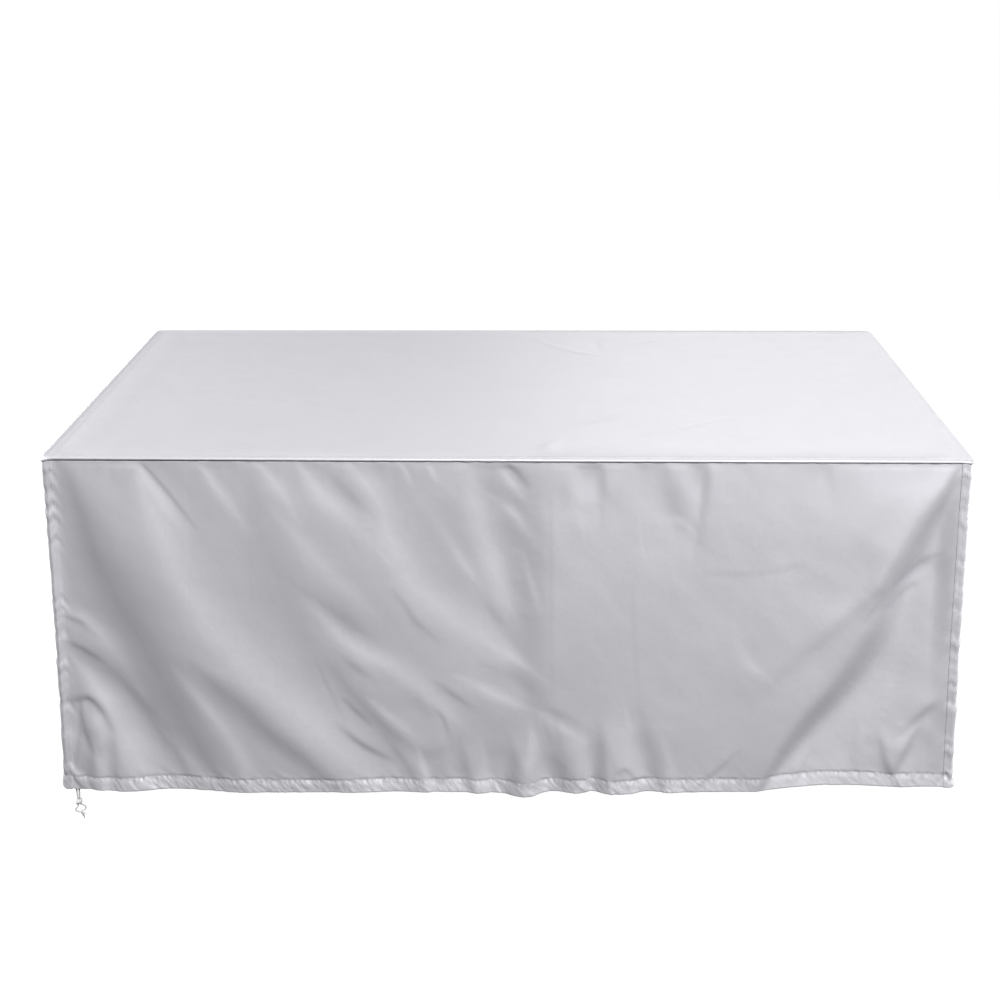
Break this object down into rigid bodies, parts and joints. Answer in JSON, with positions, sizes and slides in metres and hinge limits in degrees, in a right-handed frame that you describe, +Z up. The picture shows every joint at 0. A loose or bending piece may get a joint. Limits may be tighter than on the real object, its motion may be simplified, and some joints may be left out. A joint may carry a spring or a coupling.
{
  "type": "patio furniture cover",
  "caption": "Fitted silver-grey cloth cover for a rectangular outdoor table: flat top, hanging skirt with sewn corners, and a drawstring hem with a knotted tie.",
  "frame": {"origin": "middle of the top panel's flat underside, where the cover lies on the table top", "axes": "+X along the table's length to the viewer's right, -Y towards the front, +Z up"},
  "size_m": [1.7668, 0.9744, 0.7656],
  "materials": {
    "top_panel_cloth": "satin coated polyester",
    "front_panel_cloth": "satin coated polyester",
    "back_panel_cloth": "satin coated polyester",
    "left_panel_cloth": "satin coated polyester",
    "right_panel_cloth": "satin coated polyester",
    "drawstring_cord": "matte braided cord"
  },
  "bodies": {
    "root": {"top_panel": "top_panel_cloth", "front_panel": "front_panel_cloth", "back_panel": "back_panel_cloth", "left_panel": "left_panel_cloth", "right_panel": "right_panel_cloth", "drawstring_strand_left": "drawstring_cord", "drawstring_strand_right": "drawstring_cord", "drawstring_knot": "drawstring_cord", "drawstring_end_left": "drawstring_cord", "drawstring_end_right": "drawstring_cord"}
  },
  "joints": []
}
